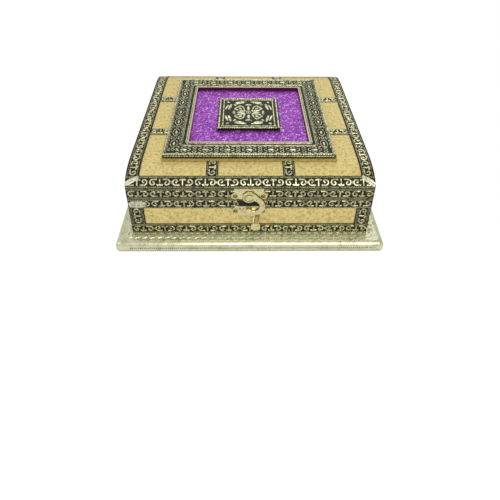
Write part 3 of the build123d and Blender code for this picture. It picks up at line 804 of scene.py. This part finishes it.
# Plinth
def plinth_relief():
    """Slanting leaves round the plinth's margin, and under its rounded nose a dotted line of raised
    beads in the dark ground finish, a painted shadow line.
    """
    leaves = bmesh.new()
    dots_in_painted_shadow = bmesh.new()
    edge = plinth_high.x
    nose_radius = 4.5
    margin = (edge - nose_radius + body_half) / 2
    leaf_pitch = 6.4
    leaf_lean = 38
    corner_clear = 12.0
    for turn in (0, 90, 180, 270):
        spin = Matrix.Rotation(math.radians(turn), 3, "Z")
        count = round((2 * body_half + 6) / leaf_pitch)
        unit = bmesh.new()
        lens(unit, (0, 0.2), 9.4, 3.2, 0.6, leaf_lean)
        lens(unit, (leaf_pitch / 2, 0.4), 6.6, 1.1, 0.45, leaf_lean)
        lens(unit, (0, -4.3), leaf_pitch * 0.8, 0.8, 0.4, 4)
        lens(unit, (0, 4.3), leaf_pitch * 0.7, 0.7, 0.4, -4)
        data = as_mesh(unit, "leaf")
        row = bmesh.new()
        add_copy(row, data, Matrix.Translation((-(count - 1) * leaf_pitch / 2, 0, 0)))
        repeat(row, count, leaf_pitch)
        lay(row, lambda s, t, h: spin @ Vector((s, -margin + t, plinth_high.z + h)))
        merge(leaves, row)
        # Painted shadow: the bead row takes the dark ground finish to stand for the thin shadow under
        # the nose
        low = plinth_high.z - nose_radius - 0.3
        row = bmesh.new()
        add_copy(row, bead_row(2 * (edge - corner_clear), 0, 1.7, 0.9, 0.2, 0.2))
        lay(row, lambda s, t, h: spin @ Vector((s, -edge - h, low + t)))
        merge(dots_in_painted_shadow, row)
    make_piece("plinth_leaves", leaves, plinth_relief_finish, "base")
    make_piece("plinth_painted_shadow_dots", dots_in_painted_shadow, ground_finish, "base")


# Latch
def on_latch(off):
    """Where flat points go on the front, measured from the hook's pivot, off millimetres out."""
    def place(s, t, h):
        return (pivot.x + s, -body_half - off - h, pivot.z + t)
    return place


def arc_ridge(bm, centre, radius, start, sweep, width, rise, steps=14):
    """A raised band along part of a circle."""
    begin = math.radians(start)
    out = Vector((math.cos(begin), math.sin(begin)))
    edges = ridge_section(bm, Vector(centre) + out * radius, out, width, rise)
    cap(bm, curl(bm, edges, centre, sweep, steps))


def latch_details():
    """Raised rims, bosses and pads on the stamped latch plates and the hook."""
    ears = bmesh.new()
    for down in (0.2, -15.7):
        for side in (-1, 1):
            ring_of(ears, (side * 11.5, down), 5.0, 5.0, 0.28, 0.35, 14)
    for side in (-1, 1):
        lens(ears, (side * 7.4, 5.2), 2.2, 1.2, 0.4, side * -35)
    add_copy(ears, plain_line(19.5, 7.0, 0.9, 0.4))
    add_copy(ears, plain_line(17.0, -11.4, 0.8, 0.35))
    lay(ears, on_latch(0.8))
    plates = [corner for corner in ears.verts if corner.co.z < pivot.z - 8]
    catch = ears.copy()
    bmesh.ops.delete(ears, geom=plates, context="VERTS")
    upper = [corner for corner in catch.verts if corner.co.z >= pivot.z - 8]
    bmesh.ops.delete(catch, geom=upper, context="VERTS")
    slots = bmesh.new()
    # Painted shade: small bosses in the darker brass stand for the catch's shadowed slots
    for along, width in ((-7.6, 2.6), (-4.4, 2.0), (6.6, 2.4)):
        lens(slots, (along, -13.4), width, 1.7, 0.12)
    lay(slots, on_latch(0.8))
    make_piece("catch_plate_slots", slots, painted_shade_brass_finish, "base")
    make_piece("latch_plate_rims", ears, brass_finish, "lid")
    make_piece("catch_plate_rims", catch, brass_finish, "base")

    hook = bmesh.new()
    arc_ridge(hook, (2.45, -9.6), 8.6, 62, -128, 3.4, 0.55)
    arc_ridge(hook, (0, 0), 4.3, 30, 300, 1.1, 0.45, 18)
    lay(hook, on_latch(2.8))
    make_piece("hook_rounding", hook, brass_finish, "hook")

    pad = bmesh.new()
    lens(pad, (5.6, -29.5), 6.6, 4.8, 0.4)
    lay(pad, on_latch(6.2))
    make_piece("thumb_pad", pad, brass_finish, "hook")

    # Painted shade: the neck fold takes the darker brass for its twist in shadow
    neck = bmesh.new()
    edges = ridge_section(neck, (7.2, -18.6), (1, 0), 4.2, 0.3)
    edges = straight(neck, edges, (-0.8, -2.8))
    cap(neck, straight(neck, edges, (-0.8, -4.6)))
    lay(neck, lambda s, t, h: on_latch(2.8)(s, t, h + max(0.0, -21.4 - t) * 0.667))
    make_piece("hook_neck_fold", neck, painted_shade_brass_finish, "hook")


# Bare foil
def foil_scrap(name, body, length, width, place, wrinkle=0.22):
    """A thin crumpled scrap of bare foil, rounded at its ends, laid by place."""
    bm = bmesh.new()
    bmesh.ops.create_grid(bm, x_segments=16, y_segments=8, size=1)
    creases = random.Random(3)
    for corner in bm.verts:
        x, y = corner.co.x, corner.co.y
        edge = 1 - 0.35 * abs(x) ** 4
        height = 0.36 + creases.uniform(-wrinkle, wrinkle) * (1 - y * y)
        corner.co = Vector((x * length / 2, y * edge * width / 2, height))
    rim = [side for side in bm.edges if side.is_boundary]
    skirt = bmesh.ops.extrude_edge_only(bm, edges=rim)["geom"]
    for part in skirt:
        if isinstance(part, bmesh.types.BMVert):
            part.co.z = 0.0
    lay(bm, place)
    make_piece(name, bm, scrap_finish, body)


def foil_scraps():
    """The folds on the four corners of the lid and the worn lap at the front."""
    middle = (run_at_height(shoulder_low.z) + run_at_height(shoulder_high.z)) / 2
    for name, side, slope, reach in (("left", -1, 0.95, 10.5), ("right", 1, -1.2, 10.0)):
        def corner_point(s, t):
            x = side * (body_half - 5.4) + s - slope * t * 0.4
            return x, middle + 1.2 + slope * s * 0.62 + t

        def on_front(s, t, h):
            x, along = corner_point(s, t)
            return over_lid(along, x, h)

        def on_back(s, t, h):
            x, along = corner_point(s, t)
            return over_lid(lid_run - along, -x, h)
        foil_scrap(f"corner_fold_{name}", "lid", reach, 3.6, on_front)
        foil_scrap(f"corner_fold_behind_{name}", "lid", reach, 3.6, on_back)
    front = on_side("front", (top_low.z + top_high.z) / 2 - 0.4)
    foil_scrap("worn_lap", "base", 13.5, 6.4, lambda s, t, h: front(-body_half + 7.6 + s, t, h), 0.12)


# Room and light
def floor_material():
    """White floor: bright to the camera, with only a trace of the box's shadow."""
    material, tree, shader = start_material("floor", (0.85, 0.85, 0.85), 0.0, 0.9)
    glow = tree.nodes.new("ShaderNodeEmission")
    glow.inputs["Color"].default_value = (1, 1, 1, 1)
    glow.inputs["Strength"].default_value = 1.05
    rays = tree.nodes.new("ShaderNodeLightPath")
    share = tree.nodes.new("ShaderNodeMath")
    share.operation = "MULTIPLY"
    share.inputs[1].default_value = 0.93
    mix = tree.nodes.new("ShaderNodeMixShader")
    tree.links.new(rays.outputs["Is Camera Ray"], share.inputs[0])
    tree.links.new(share.outputs["Value"], mix.inputs["Fac"])
    tree.links.new(shader.outputs["BSDF"], mix.inputs[1])
    tree.links.new(glow.outputs["Emission"], mix.inputs[2])
    tree.links.new(mix.outputs["Shader"], tree.nodes["Material Output"].inputs["Surface"])
    return material


def build_stage():
    """A plain pale floor, a pale world and soft studio lamps."""
    bm = bmesh.new()
    bmesh.ops.create_grid(bm, x_segments=1, y_segments=1, size=6)
    data = as_mesh(bm, "floor")
    data.materials.append(floor_material())
    floor = bpy.data.objects.new("floor", data)
    bpy.context.collection.objects.link(floor)
    world = bpy.data.worlds.new("studio")
    world.use_nodes = True
    bpy.context.scene.world = world
    tree = world.node_tree
    back = tree.nodes["Background"]
    back.inputs["Color"].default_value = (0.95, 0.97, 1.0, 1)
    back.inputs["Strength"].default_value = 0.5
    white = tree.nodes.new("ShaderNodeBackground")
    white.inputs["Color"].default_value = (1, 1, 1, 1)
    white.inputs["Strength"].default_value = 1.0
    rays = tree.nodes.new("ShaderNodeLightPath")
    mix = tree.nodes.new("ShaderNodeMixShader")
    tree.links.new(rays.outputs["Is Camera Ray"], mix.inputs["Fac"])
    tree.links.new(back.outputs["Background"], mix.inputs[1])
    tree.links.new(white.outputs["Background"], mix.inputs[2])
    tree.links.new(mix.outputs["Shader"], tree.nodes["World Output"].inputs["Surface"])
    for name, place, size, power in (("key", (0.15, -0.75, 0.75), 0.65, 3.4),
                                     ("fill", (-0.8, -0.3, 0.6), 0.7, 1.2),
                                     ("back", (0.10, 0.95, 0.90), 0.8, 2.0)):
        lamp = bpy.data.lights.new(name, "AREA")
        lamp.energy = power
        lamp.size = size
        holder = bpy.data.objects.new(name, lamp)
        holder.location = place
        holder.rotation_euler = (-Vector(place)).to_track_quat("-Z", "Y").to_euler()
        bpy.context.collection.objects.link(holder)
    bpy.context.scene.view_settings.view_transform = "Standard"


set_camera()
build_stage()

ground_finish = foil_ground()
relief_finish = foil_relief()
# Painted shade: a darker copy of the relief for the upright strips, which face away from the light
# above
shaded_relief_finish = foil_relief("foil_relief_painted_shade", (0.66, 0.63, 0.36), (0.18, 0.17, 0.06))
frame_relief_finish = foil_relief("frame_relief", (0.86, 0.85, 0.52), (0.24, 0.24, 0.10))
purple_finish = purple_film()
plinth_finish = plinth_foil()
plinth_relief_finish = foil_relief("plinth_relief", (0.92, 0.91, 0.66), (0.45, 0.45, 0.24))
scrap_finish = foil_relief("bare_foil", (0.8, 0.79, 0.62), (0.36, 0.36, 0.22))
brass_finish = brass()
painted_shade_brass_finish = painted_shade_brass()
velvet_finish = velvet()
board_finish = fibreboard()

finishes = {"mdf": board_finish, "embossed_foil": ground_finish, "plinth_foil": plinth_finish,
            "gold_paper": gold_paper(), "lip_gold": lip_gold_with_painted_shade(),
            "gold_edge": gold_paper("gold_edge", (0.55, 0.42, 0.12), (0.3, 0.2, 0.05)),
            "purple_film": purple_finish, "brass": brass_finish, "velvet": velvet_finish}
for entry in frame["record"]["subparts"]:
    finish_with([entry["node"]], finishes[entry["material_slot"]])
# Painted shade: the tacks, down in their holes, take the darker brass
finish_with(["latch_tacks", "catch_tacks"], painted_shade_brass_finish)

course_relief("foot_relief", foot_low.z, foot_high.z, "base")
course_relief("top_relief", top_low.z, top_high.z, "base", True)
course_relief("rim_relief", rim_low.z, rim_high.z, "lid")
shoulder_relief()
side_reliefs()
end_reliefs()
cross_reliefs()
corner_reliefs()
frame_relief()
tile_relief()
purple_sheet()
plinth_relief()
foil_scraps()
latch_details()
